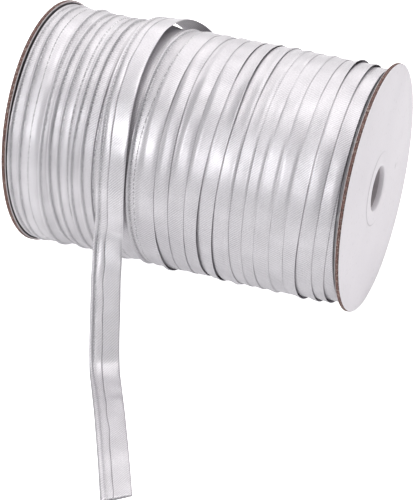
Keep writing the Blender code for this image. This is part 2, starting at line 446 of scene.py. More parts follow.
def drawn_strip(sections, across, along, closed, hollow_shades, raw_edges):
    """Surface through sections, station by station, from a grid. Its UV is metres across and along.

    Hollow shades, the painted shade in hollows and along edges, and raw edges are a share from 0 to 1
    for each point of each section."""
    rows, columns = sections.shape[:2]
    bm = bmesh.new()
    uv = bm.loops.layers.uv.new("tape")
    hollow_shade_layer = bm.verts.layers.float.new("hollow_shade")
    raw_layer = bm.verts.layers.float.new("raw_edge")
    bmesh.ops.create_grid(bm, x_segments=columns - 1, y_segments=rows - 1, size=0.5, calc_uvs=True)
    bm.verts.ensure_lookup_table()
    points = zip(bm.verts, sections.reshape(-1, 3), hollow_shades.reshape(-1), raw_edges.reshape(-1))
    for vert, point, hollow_shade, raw_edge in points:
        vert.co = point
        vert[hollow_shade_layer] = hollow_shade
        vert[raw_layer] = raw_edge
    for face in bm.faces:
        for loop in face.loops:
            row, column = divmod(loop.vert.index, columns)
            loop[uv].uv = (across[row, column], along[row])
    if closed:
        bmesh.ops.remove_doubles(bm, verts=bm.verts, dist=1e-7)
        ends = [edge for edge in bm.edges if edge.is_boundary]
        bmesh.ops.holes_fill(bm, edges=ends, sides=0)
        bmesh.ops.recalc_face_normals(bm, faces=bm.faces)
    return bm


def turned(profile, steps):
    """Closed body of revolution about the spool's axis from a closed profile of (along, radius)."""
    bm = bmesh.new()
    points = [bm.verts.new(MIDDLE + Vector((along, 0.0, radius))) for along, radius in profile]
    edges = [bm.edges.new(pair) for pair in zip(points, points[1:] + points[:1])]
    bmesh.ops.spin(
        bm, geom=points + edges, cent=MIDDLE, axis=(1.0, 0.0, 0.0),
        angle=math.tau, steps=steps, use_merge=True, use_duplicate=False)
    bmesh.ops.recalc_face_normals(bm, faces=bm.faces)
    return bm


# Looks
def node(tree, kind, **values):
    """A node with its properties and its unlinked inputs set. An input's name has spaces for _."""
    made = tree.nodes.new(kind)
    for key, value in values.items():
        if key in made.bl_rna.properties:
            setattr(made, key, value)
        else:
            made.inputs[key.replace("_", " ")].default_value = value
    return made


def calculated(tree, operation, first, second=0.0):
    """Result of a sum on a socket, and another socket or a number."""
    made = node(tree, "ShaderNodeMath", operation=operation)
    tree.links.new(first, made.inputs[0])
    if isinstance(second, (int, float)):
        made.inputs[1].default_value = second
    else:
        tree.links.new(second, made.inputs[1])
    return made.outputs[0]


def plus(tree, first, second):
    """First and second added."""
    return calculated(tree, "ADD", first, second)


def less(tree, first, second):
    """Second taken from first."""
    return calculated(tree, "SUBTRACT", first, second)


def times(tree, first, second):
    """First and second multiplied."""
    return calculated(tree, "MULTIPLY", first, second)


def noise(tree, vector, scale, detail=3.0, roughness=0.55):
    """Fine random pattern on a vector, from 0 to 1."""
    made = node(tree, "ShaderNodeTexNoise", Scale=scale, Detail=detail, Roughness=roughness)
    tree.links.new(vector, made.inputs["Vector"])
    return made.outputs["Fac"]


def spread(tree, value, low_in, high_in, low_out=0.0, high_out=1.0):
    """A value moved from one range to another, and kept inside it."""
    made = node(
        tree, "ShaderNodeMapRange",
        From_Min=low_in, From_Max=high_in, To_Min=low_out, To_Max=high_out)
    tree.links.new(value, made.inputs["Value"])
    return made.outputs["Result"]


def mixed(tree, share, first, second, strength=1.0):
    """Two colours mixed by a share, which the strength weakens."""
    if strength != 1.0:
        share = times(tree, share, strength)
    made = node(tree, "ShaderNodeMix", data_type="RGBA")
    for place, value in ((0, share), (6, first), (7, second)):
        if isinstance(value, tuple):
            made.inputs[place].default_value = (*value, 1.0)
        else:
            tree.links.new(value, made.inputs[place])
    return made.outputs[2]


def object_place(tree):
    """Place in the object, in metres."""
    return node(tree, "ShaderNodeTexCoord").outputs["Object"]


def split(tree, vector):
    """The three parts of a vector."""
    apart = node(tree, "ShaderNodeSeparateXYZ")
    tree.links.new(vector, apart.inputs[0])
    return apart.outputs


def new_group(name, inputs, outputs):
    """Empty node group. Inputs are (name, kind, value), outputs are (name, kind)."""
    tree = bpy.data.node_groups.new(name, "ShaderNodeTree")
    for label, kind, value in inputs:
        socket = tree.interface.new_socket(label, in_out="INPUT", socket_type="NodeSocket" + kind)
        if value is not None:
            socket.default_value = value
    for label, kind in outputs:
        tree.interface.new_socket(label, in_out="OUTPUT", socket_type="NodeSocket" + kind)
    return tree, tree.nodes.new("NodeGroupInput").outputs, tree.nodes.new("NodeGroupOutput").inputs


def wave(tree, place, spacing):
    """Even wave from 0 to 1 along a place, with one crest for each spacing."""
    turns = calculated(tree, "DIVIDE", place, spacing)
    sine = calculated(tree, "SINE", times(tree, turns, math.tau))
    return times(tree, plus(tree, sine, 1.0), 0.5)


def bias_weave():
    """Slanting ridges of satin cloth cut on the bias, on a UV in metres across and along the tape."""
    tree, given, out = new_group(
        "bias weave",
        (("UV", "Vector", None), ("Slant", "Float", 0.785), ("Ridge Spacing", "Float", 0.00072),
         ("Thread Spacing", "Float", 0.00026), ("Unevenness", "Float", 0.00056)),
        (("Height", "Float"), ("Ridges", "Float"), ("Patches", "Float")))
    float_length = 2.6
    ridge_share = 0.55
    swell_share = 0.45
    turn = node(tree, "ShaderNodeVectorRotate", rotation_type="Z_AXIS")
    tree.links.new(given["UV"], turn.inputs["Vector"])
    tree.links.new(given["Slant"], turn.inputs["Angle"])
    apart = split(tree, turn.outputs[0])
    drift = less(tree, noise(tree, given["UV"], 340.0), 0.5)
    drift = times(tree, drift, given["Unevenness"])
    crosswise = plus(tree, apart["Y"], drift)
    lengthwise = plus(tree, apart["X"], drift)
    ridges = wave(tree, crosswise, given["Ridge Spacing"])
    threads = wave(tree, crosswise, given["Thread Spacing"])
    floats = wave(tree, lengthwise, times(tree, given["Thread Spacing"], float_length))
    patches = spread(tree, noise(tree, given["UV"], 95.0, detail=1.0), 0.30, 0.72)
    strength = spread(tree, patches, 0.0, 1.0, 0.42, 1.08)
    fine = spread(tree, times(tree, threads, floats), 0.0, 1.0, 1.0, 0.6)
    shown = times(tree, times(tree, ridges, strength), fine)
    height = times(tree, less(tree, ridges, 0.5), strength)
    height = times(tree, height, ridge_share)
    swells = times(tree, noise(tree, given["UV"], 75.0, detail=0.0), swell_share)
    tree.links.new(plus(tree, height, swells), out["Height"])
    tree.links.new(shown, out["Ridges"])
    tree.links.new(patches, out["Patches"])
    return tree


def soft_marks():
    """Faint cloudy marks and flecks, as handling and dust leave them, on places in the object."""
    tree, given, out = new_group(
        "soft marks",
        (("Place", "Vector", None), ("Cloud Scale", "Float", 60.0), ("Fleck Scale", "Float", 900.0)),
        (("Clouds", "Float"), ("Flecks", "Float")))
    clouds = node(tree, "ShaderNodeTexNoise", Detail=4.0, Roughness=0.6)
    flecks = node(tree, "ShaderNodeTexNoise", Detail=2.0, Roughness=0.5)
    for pattern, scale in ((clouds, "Cloud Scale"), (flecks, "Fleck Scale")):
        tree.links.new(given["Place"], pattern.inputs["Vector"])
        tree.links.new(given[scale], pattern.inputs["Scale"])
    tree.links.new(spread(tree, clouds.outputs["Fac"], 0.35, 0.70), out["Clouds"])
    tree.links.new(spread(tree, flecks.outputs["Fac"], 0.62, 0.74), out["Flecks"])
    return tree


def from_axis():
    """A place's distance from the spool's axis, its share of a turn round it, and where along it."""
    tree, given, out = new_group(
        "from axis",
        (("Place", "Vector", None),),
        (("Radius", "Float"), ("Turn", "Float"), ("Along", "Float")))
    apart = split(tree, given["Place"])
    sideways = less(tree, apart["Y"], MIDDLE.y)
    upward = less(tree, apart["Z"], MIDDLE.z)
    squares = plus(tree, times(tree, sideways, sideways), times(tree, upward, upward))
    turn = calculated(tree, "DIVIDE", calculated(tree, "ARCTAN2", sideways, upward), math.tau)
    tree.links.new(calculated(tree, "SQRT", squares), out["Radius"])
    tree.links.new(turn, out["Turn"])
    tree.links.new(less(tree, apart["X"], MIDDLE.x), out["Along"])
    return tree


def placed(tree, group, **links):
    """A node group in a material, with its inputs linked or set."""
    made = tree.nodes.new("ShaderNodeGroup")
    made.node_tree = group
    for key, value in links.items():
        label = key.replace("_", " ")
        if isinstance(value, float):
            made.inputs[label].default_value = value
        else:
            tree.links.new(value, made.inputs[label])
    return made.outputs


def new_look(name, **constants):
    """Material with its shader's own sockets set: (material, its tree, its shader's inputs)."""
    made = bpy.data.materials.new(name)
    made.use_nodes = True
    shader = made.node_tree.nodes["Principled BSDF"]
    for key, value in constants.items():
        shader.inputs[key.replace("_", " ")].default_value = value
    return made, made.node_tree, shader.inputs


def raised(tree, height, distance, strength, shader):
    """Bump from a height pattern into a shader's normal."""
    bump = node(tree, "ShaderNodeBump", Strength=strength, Distance=distance)
    tree.links.new(height, bump.inputs["Height"])
    tree.links.new(bump.outputs["Normal"], shader["Normal"])


WEAVE = bias_weave()
MARKS = soft_marks()
AXIS = from_axis()

# Colours of the cloth, the paper, the board and the tube
SATIN_DULL = (0.320, 0.310, 0.332)
SATIN_SHADE = (0.170, 0.165, 0.178)
SATIN_THREAD = (0.92, 0.91, 0.93)
# Painted shade: the satin of the buried turns, darkened for the gaps of the winding
GAP_SHADE_DARK = (0.18, 0.175, 0.19)
GAP_SHADE_LIGHT = (0.38, 0.375, 0.39)
GAP_SHADE_PATCH = (0.50, 0.50, 0.52)
PAPER_LIGHT = (0.900, 0.862, 0.900)
PAPER_DARK = (0.820, 0.785, 0.820)
PAPER_FLECK = (0.5, 0.47, 0.47)
PAPER_SMUDGE = (0.4, 0.38, 0.38)
# Painted shade on the ring over the tube's end
PAPER_RING_SHADE = (0.42, 0.39, 0.41)
# Inside of the flanges: grey board, darkened as painted shade
LINER_SHADE_DARK = (0.045, 0.040, 0.042)
LINER_SHADE_LIGHT = (0.13, 0.12, 0.125)
LINER_RIM = (0.70, 0.64, 0.65)
BOARD_DARK = (0.060, 0.040, 0.040)
BOARD_RED = (0.185, 0.115, 0.100)
BOARD_FIBRE = (0.33, 0.17, 0.145)
BOARD_FLECK = (0.55, 0.48, 0.42)
TUBE_DARK = (0.46, 0.42, 0.44)
TUBE_LIGHT = (0.60, 0.56, 0.58)
TUBE_SEAM = (0.25, 0.22, 0.23)


def satin_look(name, light, smooth):
    """Silver-white satin: a smooth sheen broken by slanting threads, duller where they stand up, with
    painted shade in its hollows and along its edges.
    """
    look, tree, shader = new_look(
        name, Metallic=0.6, Specular_IOR_Level=0.6, Coat_Roughness=0.24)
    spot = node(tree, "ShaderNodeUVMap", uv_map="tape").outputs["UV"]
    weave = placed(tree, WEAVE, UV=spot)
    marks = placed(tree, MARKS, Place=object_place(tree), Cloud_Scale=110.0)
    grain = spread(tree, noise(tree, spot, 1700.0, detail=2.0), 0.34, 0.66)
    colour = mixed(tree, weave["Ridges"], light, SATIN_DULL, strength=0.62)
    colour = mixed(tree, grain, colour, SATIN_DULL, strength=0.22)
    colour = mixed(tree, marks["Clouds"], colour, SATIN_DULL, strength=0.14)
    # Painted shade, mottled by the grain, where the points are marked for it in the folds' grooves and
    # along the edges
    hollow_shade = node(tree, "ShaderNodeAttribute", attribute_name="hollow_shade").outputs["Fac"]
    shade_mottle = spread(tree, grain, 0.0, 1.0, 0.12, 0.85)
    colour = mixed(tree, times(tree, hollow_shade, shade_mottle), colour, SATIN_SHADE)
    fray = node(tree, "ShaderNodeAttribute", attribute_name="raw_edge").outputs["Fac"]
    dashes = spread(tree, noise(tree, spot, 1300.0, detail=2.0), 0.45, 0.57)
    pale = times(tree, fray, dashes)
    colour = mixed(tree, pale, colour, SATIN_THREAD, strength=0.6)
    dark = times(tree, fray, spread(tree, dashes, 0.0, 1.0, 0.42, 0.0))
    colour = mixed(tree, dark, colour, SATIN_SHADE)
    roughness = spread(tree, weave["Patches"], 0.0, 1.0, smooth, smooth + 0.05)
    tree.links.new(colour, shader["Base Color"])
    tree.links.new(roughness, shader["Roughness"])
    tree.links.new(spread(tree, weave["Patches"], 0.0, 1.0, 0.10, 0.06), shader["Coat Weight"])
    raised(tree, weave["Height"], 0.00009, 0.9, shader)
    return look


def buried_shade_look():
    """Tape edges packed side by side, seen down in the gaps of the winding, in dark colours that are
    painted shade.
    """
    edge_spacing = 0.00065
    look, tree, shader = new_look("satin_edges_painted_shade", Roughness=0.42, Specular_IOR_Level=0.5)
    place = object_place(tree)
    axis = placed(tree, AXIS, Place=place)
    drift = times(tree, noise(tree, place, 120.0), 0.0006)
    rings = wave(tree, plus(tree, axis["Along"], drift), edge_spacing)
    patches = spread(tree, noise(tree, place, 210.0), 0.52, 0.66)
    colour = mixed(tree, rings, GAP_SHADE_DARK, GAP_SHADE_LIGHT)
    colour = mixed(tree, patches, colour, GAP_SHADE_PATCH, strength=0.6)
    tree.links.new(colour, shader["Base Color"])
    raised(tree, plus(tree, rings, patches), 0.0002, 0.8, shader)
    return look


# Smudge: its place from the spool's middle, how far it is whole and how far it reaches
SMUDGE = Vector((0.06285, 0.0237, -0.0053))
SMUDGE_WHOLE = 0.0012
SMUDGE_REACH = 0.0026


def smudge(tree, place):
    """One small thumbed mark on the right-hand flange, from 0 to 1."""
    away = node(tree, "ShaderNodeVectorMath", operation="DISTANCE")
    tree.links.new(place, away.inputs[0])
    away.inputs[1].default_value = MIDDLE + SMUDGE
    uneven = times(tree, noise(tree, place, 600.0, detail=2.0), 0.002)
    away = plus(tree, away.outputs["Value"], uneven)
    return spread(tree, away, SMUDGE_WHOLE, SMUDGE_REACH, 1.0, 0.0)


def tube_ring_shade(tree, place, axis):
    """Painted shade along the ring where the end of the tube presses through the paper, stronger
    towards the front, where its step is turned from the light.
    """
    away = calculated(tree, "ABSOLUTE", less(tree, axis["Radius"], TUBE_RADIUS))
    ring = spread(tree, away, 0.00012, 0.00034, 1.0, 0.0)
    depth = split(tree, place)["Y"]
    front = spread(tree, depth, MIDDLE.y - 0.004, MIDDLE.y + 0.008, 1.0, 0.15)
    return times(tree, ring, front)


def paper_look():
    """Smooth white paper, a little greyer in clouds, with painted shade towards its rim and along the
    ring over the tube's end, and fine fibres.
    """
    look, tree, shader = new_look("paper_white", Specular_IOR_Level=0.35)
    place = object_place(tree)
    marks = placed(tree, MARKS, Place=place, Cloud_Scale=38.0, Fleck_Scale=700.0)
    axis = placed(tree, AXIS, Place=place)
    # Painted shade towards the rim, standing in for the face dishing there
    rim = spread(tree, axis["Radius"], FLANGE_RADIUS - 0.006, FLANGE_RADIUS)
    colour = mixed(tree, marks["Clouds"], PAPER_LIGHT, PAPER_DARK, strength=0.35)
    colour = mixed(tree, rim, colour, PAPER_DARK, strength=0.3025)
    colour = mixed(tree, marks["Flecks"], colour, PAPER_FLECK, strength=0.18)
    colour = mixed(tree, smudge(tree, place), colour, PAPER_SMUDGE, strength=0.30)
    # Painted shade along the ring over the tube's end
    colour = mixed(tree, tube_ring_shade(tree, place, axis), colour, PAPER_RING_SHADE, strength=0.42)
    tree.links.new(colour, shader["Base Color"])
    tree.links.new(spread(tree, marks["Clouds"], 0.0, 1.0, 0.48, 0.62), shader["Roughness"])
    fibres = plus(tree, noise(tree, place, 2600.0), noise(tree, place, 420.0, detail=2.0))
    raised(tree, fibres, 0.00004, 0.35, shader)
    return look


def liner_look():
    """Inside of a flange: grey board darkened almost to black as painted shade in the gap beside the
    winding, with the turned-over edge of the white paper at its rim.
    """
    look, tree, shader = new_look("board_grey_painted_shade", Roughness=0.8, Specular_IOR_Level=0.25)
    place = object_place(tree)
    axis = placed(tree, AXIS, Place=place)
    ragged = times(tree, noise(tree, place, 400.0), 0.0003)
    reach = plus(tree, axis["Radius"], ragged)
    paper = spread(tree, reach, FLANGE_RADIUS - 0.0006, FLANGE_RADIUS - 0.0004)
    fibre = noise(tree, place, 900.0, detail=4.0, roughness=0.6)
    colour = mixed(tree, fibre, LINER_SHADE_DARK, LINER_SHADE_LIGHT)
    tree.links.new(mixed(tree, paper, colour, LINER_RIM), shader["Base Color"])
    raised(tree, fibre, 0.0001, 0.5, shader)
    return look


def board_look():
    """Cut edge of grey-brown board: pressed layers with reddish and pale fibres."""
    layer_thick = 0.00075
    look, tree, shader = new_look("board_brown", Roughness=0.85, Specular_IOR_Level=0.25)
    place = object_place(tree)
    axis = placed(tree, AXIS, Place=place)
    ragged = noise(tree, place, 500.0, detail=4.0, roughness=0.65)
    ragged = times(tree, ragged, 0.0005)
    layer = wave(tree, plus(tree, axis["Along"], ragged), layer_thick)
    fibre = noise(tree, place, 1500.0, roughness=0.7)
    fibre = spread(tree, fibre, 0.42, 0.62)
    fleck = noise(tree, place, 1100.0, detail=2.0, roughness=0.5)
    fleck = spread(tree, fleck, 0.56, 0.66)
    colour = mixed(tree, layer, BOARD_DARK, BOARD_RED)
    colour = mixed(tree, fibre, colour, BOARD_FIBRE, strength=0.55)
    colour = mixed(tree, fleck, colour, BOARD_FLECK, strength=0.45)
    tree.links.new(colour, shader["Base Color"])
    raised(tree, plus(tree, layer, fibre), 0.00012, 0.8, shader)
    return look


def tube_look():
    """Wound card tube: grey-mauve plies with their seams running round in a spiral."""
    ply_width = 0.021
    seam_width = 0.03
    look, tree, shader = new_look("tube_card", Roughness=0.82, Specular_IOR_Level=0.25)
    place = object_place(tree)
    axis = placed(tree, AXIS, Place=place)
    along = calculated(tree, "DIVIDE", split(tree, place)["X"], ply_width)
    ply = calculated(tree, "FRACT", plus(tree, along, axis["Turn"]))
    from_seam = calculated(tree, "ABSOLUTE", less(tree, ply, 0.5))
    seam = spread(tree, from_seam, 0.0, seam_width, 1.0, 0.0)
    fibre = noise(tree, place, 700.0, detail=4.0, roughness=0.6)
    colour = mixed(tree, fibre, TUBE_DARK, TUBE_LIGHT)
    colour = mixed(tree, seam, colour, TUBE_SEAM, strength=0.6)
    tree.links.new(colour, shader["Base Color"])
    raised(tree, less(tree, fibre, seam), 0.0001, 0.6, shader)
    return look


# The left-hand turns and the loose end are lighter copies of the same satin, as painted light where the
# lamps leave them darker
SATIN = satin_look("satin_silver", (0.740, 0.721, 0.748), 0.39)
LEFT_BRIGHTENED_SATIN = satin_look("satin_left_brightened", (0.790, 0.770, 0.798), 0.43)
LOOSE_BRIGHTENED_SATIN = satin_look("satin_loose_brightened", (0.785, 0.765, 0.793), 0.37)
BURIED_TAPE_SHADE_LOOK = buried_shade_look()
PAPER = paper_look()
LINER = liner_look()
BROWN = board_look()
CARD = tube_look()


# Winding
def flap_heights(shares, raw, fullness, pressed):
    """Height of the folded tape over its underside, across its width. Its raw edge is at raw.

    Fullness 1 is the tape as folded, 0 is its folds pressed down as flat as cloth goes."""
    places, heights = columns_of(FLAP)
    places[-1] = raw
    heights[1:] = FLAT_FLAP + (heights[1:] - FLAT_FLAP) * fullness
    flap = np.interp(shares, places, heights)
    rows = [(raw, heights[-1]), (raw + FOOT_OVER, FOOT_HEIGHT), *BEYOND]
    rows += [(share, height * pressed) for share, height in RIGHT_FOLD]
    beyond = np.interp(shares, *columns_of(rows))
    return np.where(shares <= raw, flap, beyond) * MM


def edge_line(degrees, rows, row_degrees, first, last):
    """Place of an edge along a run of turns, smooth near its marks, in metres."""
    marks = [first]
    for turn, row in enumerate(rows):
        marks.extend((turn * 360 + mark, place) for mark, place in zip(row_degrees, row))
    marks.append(last)
    line = np.interp(degrees, *columns_of(marks))
    return softened(line, EDGE_SOFT_DEGREES / STATION_DEGREES) * MM


def lifted(degrees):
    """How far the right edge stands off at one place of the right-hand turns, in metres."""
    rise = 0.0
    for row_turn, start, most, end, height in LIFTS:
        here = degrees - 360 * row_turn
        if start < here < end:
            share = (here - start) / (most - start) if here < most else (end - here) / (end - most)
            rise += height * MM * share * share * (3 - 2 * share)
    return rise


def across_shares(raw):
    """Shares of the width where a section is drawn: over the top from the left, back below."""
    beyond = raw + RAW_STEPS[-1]
    rest = beyond + (1.0 - beyond) * np.array(REST_SHARES)
    tops = np.concatenate([FLAP_SHARES, [raw * MIDDLE_SHARE], raw + np.array(RAW_STEPS), rest])
    under_flap = 0.30 * raw + 0.1
    unders = np.concatenate([rest[-2::-1], [raw, under_flap, *UNDER_SHARES]])
    return tops, unders


def marked(weights, columns, values):
    """A grid of zeros with some of its columns set, each to a value times its row's weight."""
    grid = np.zeros((len(weights), columns))
    for place, value in values.items():
        grid[:, place] = value * weights
    return grid


def laid_turns(name, look, ground, degrees, lefts, widths, raws, lift, full, pressed, unfolded):
    """One run of tape laid on the ground, turn over turn, as a piece.

    Ground holds the winding's radius at each station round the roll and each cell along it."""
    sections = []
    across = []
    for index, left in enumerate(lefts):
        width = widths[index]
        raw = raws[index]
        row = ground[int(round(degrees[index] / STATION_DEGREES)) % PER_TURN]
        cover = np.nonzero((CELLS >= left - CELL) & (CELLS <= left + width + CELL))[0]
        under = row[cover]
        high_points = np.maximum(under, np.maximum(np.roll(under, 1), np.roll(under, -1)))
        bed = softened(high_points, BED_SOFT)
        for _ in range(SETTLE_TIMES):
            bed = softened(np.maximum(bed, under), SETTLE_SOFT)
        bed = np.maximum(bed, under)
        cell_shares = (CELLS[cover] - left) / width
        bed = bed + lift[index] * np.clip((cell_shares - LIFT_FROM) / (1.0 - LIFT_FROM), 0.0, 1.0) ** 2
        inside = np.clip(cell_shares, 0.0, 1.0)
        row[cover] = bed + flap_heights(inside, raw, full[index], pressed[index])
        tops, unders = across_shares(raw)
        shares = np.concatenate([tops, unders, tops[:1]])
        thick = flap_heights(shares, raw, full[index], pressed[index])
        thick[len(tops):-1] = UNDER_CLEAR
        radii = np.interp(shares, cell_shares, bed) + thick
        places = left + shares * width
        sections.append(on_roll(places, degrees[index], radii))
        steps = np.hypot(np.diff(places), np.diff(radii))
        across.append(np.concatenate([[0.0], np.cumsum(steps)]))
    sections = np.array(sections) + np.array(SLUMP)
    along = np.radians(degrees - degrees[0]) * WOUND_RADIUS
    columns = sections.shape[1]
    # Painted shade in the groove by the left fold where the folds show, and along the right edge as
    # thick as it stands
    hollow_shades = marked(unfolded, columns, FOLD_SHADE_COLUMNS) + marked(pressed, columns, EDGE_SHADE_COLUMNS)
    raw_edges = marked(unfolded, columns, RAW_COLUMNS)
    bm = drawn_strip(sections, np.array(across), along, True, hollow_shades, raw_edges)
    return finished(bm, name, look)


def make_left_turns(ground):
    """The run of last turns from left to right, laid on the ground."""
    degrees = np.arange(LEFT_START[0], LEFT_END[0] + 1, STATION_DEGREES)
    count = len(degrees)
    lefts = edge_line(degrees, LEFT_EDGES, LEFT_DEGREES, LEFT_START, LEFT_END)
    lefts = lefts + LEFT_EDGE_WAVER * waver(count, 14, 60)
    flange = -(SPOOL_LENGTH / 2 - BOARD) - LEFT_LEAN * WOUND_RADIUS * np.cos(np.radians(degrees))
    lefts = np.maximum(lefts, flange + LEFT_FLANGE_CLEAR)
    raws = LEFT_RAW + RAW_WAVER * waver(count, 8, 50)
    full = 1.0 + LEFT_FULL_WAVER * waver(count, 25, 90)
    whole = np.ones(count)
    return laid_turns(
        "left_turns", LEFT_BRIGHTENED_SATIN, ground, degrees, lefts, TAPE_WIDTH * whole, raws,
        lift=0.0 * whole, full=full, pressed=whole, unfolded=whole)


def make_right_turns(ground):
    """The run of last turns from right to left, laid on the ground. Its last turn shows its folds."""
    degrees = np.arange(RIGHT_START[0], RIGHT_END[0] + 1, STATION_DEGREES)
    count = len(degrees)
    rights = edge_line(degrees, RIGHT_EDGES, RIGHT_DEGREES, RIGHT_START, RIGHT_END)
    rights = rights + RIGHT_EDGE_WAVER * waver(count, 14, 60)
    rights = np.minimum(rights, SPOOL_LENGTH / 2 - BOARD - RIGHT_FLANGE_CLEAR)
    in_last = degrees - LAST_DEGREES
    marks, last_widths, last_raws = columns_of(LAST_TURN)
    widths = np.interp(in_last, marks, last_widths) * MM
    raws = np.interp(in_last, marks, last_raws) + RAW_WAVER * waver(count, 8, 50)
    lift = np.array([lifted(place) for place in degrees])
    pressed = np.interp(degrees, PRESSED_DEGREES + 360 * np.arange(len(PRESSED)), PRESSED)
    unfolded = np.clip((in_last - UNFOLDED_FROM) / UNFOLDED_OVER, 0.0, 1.0)
    full = FLATTENED + (1.0 - FLATTENED) * unfolded + RIGHT_FULL_WAVER * waver(count, 25, 90)
    return laid_turns(
        "right_turns", SATIN, ground, degrees, rights - widths, widths, raws,
        lift=lift, full=full, pressed=pressed, unfolded=unfolded)


def make_buried_turns():
    """All the turns below the last ones, as one turned body that leans with the left flange."""
    left, right = BURIED_ENDS
    inner = TUBE_RADIUS + BURIED_TUBE_CLEAR
    outline = [(max(left, min(right, along)), radius - BURIED_CLEAR) for along, radius in BURIED]
    bm = turned([(left, inner), *outline, (right, inner)], PER_TURN)
    for vert in bm.verts:
        from_middle = vert.co - MIDDLE
        share = min(1.0, max(0.0, (BURIED_LEAN_FROM - from_middle.x) / BURIED_LEAN_OVER))
        vert.co.x += share * (BURIED_LEAN_CLEAR - LEFT_LEAN * from_middle.z)
        if from_middle.yz.length > SLUMP_FROM:
            vert.co += SLUMP
    return finished(bm, "buried_turns", BURIED_TAPE_SHADE_LOOK)


def make_winding():
    """The two runs of last turns and the buried turns under them."""
    buried = np.interp(CELLS, *columns_of(BURIED))
    ground = np.tile(buried, (PER_TURN, 1))
    for piece in (make_left_turns(ground), make_right_turns(ground), make_buried_turns()):
        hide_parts("wound_tape")


# Loose end
def wrap_rows():
    """Stations of the loose end on the roll: (middle of the underside, direction across)."""
    rows = []
    for degrees, left_along, left_radius, right_along, right_radius in WRAP:
        angle = math.radians(degrees)
        out = Vector((0.0, -math.sin(angle), math.cos(angle)))
        left = Vector((left_along, 0.0, 0.0)) + out * left_radius
        right = Vector((right_along, 0.0, 0.0)) + out * right_radius
        rows.append(((left + right) / 2, (right - left).normalized()))
    return rows


def fall_rows():
    """Stations of the loose end off the roll: (middle of the underside, direction across)."""
    rows = []
    for x, y, z, degrees in FALL:
        angle = math.radians(degrees)
        rows.append((Vector((x, y, z)), Vector((math.cos(angle), math.sin(angle), 0.0))))
    return rows


def route():
    """The whole route of the loose end in short steps."""
    rows = wrap_rows() + fall_rows()
    padded = [rows[0]] + rows + [rows[-1]]
    found = []
    for before, start, end, after in zip(padded, padded[1:], padded[2:], padded[3:]):
        steps = max(1, round((end[0] - start[0]).length / ROUTE_STEP))
        for step in range(steps):
            share = step / steps
            middle = smooth_between(before[0], start[0], end[0], after[0], share)
            middle.z = max(middle.z, BASE)
            found.append((middle, start[1].lerp(end[1], share)))
    found.append(rows[-1])
    return found


def unit_rows(rows):
    """Rows of directions, each made one long."""
    return rows / np.linalg.norm(rows, axis=1)[:, None]


def distances_along(points):
    """Distance of each of a row of points from the first one, along the row."""
    return np.concatenate([[0.0], np.cumsum(np.linalg.norm(np.diff(points, axis=0), axis=1))])


def dented(levels, shares, past_landing):
    """Heights across the top of the loose end at one place, with the dents and swells near it."""
    for away, reach, from_share, whole_share, height in DENTS:
        along = np.exp(-((past_landing - away) / reach) ** 2)
        over = np.clip((shares - from_share) / (whole_share - from_share), 0.0, 1.0)
        over = over * np.clip((DENT_END - shares) / DENT_END_OVER, 0.0, 1.0)
        levels = levels + height * along * over
    return levels


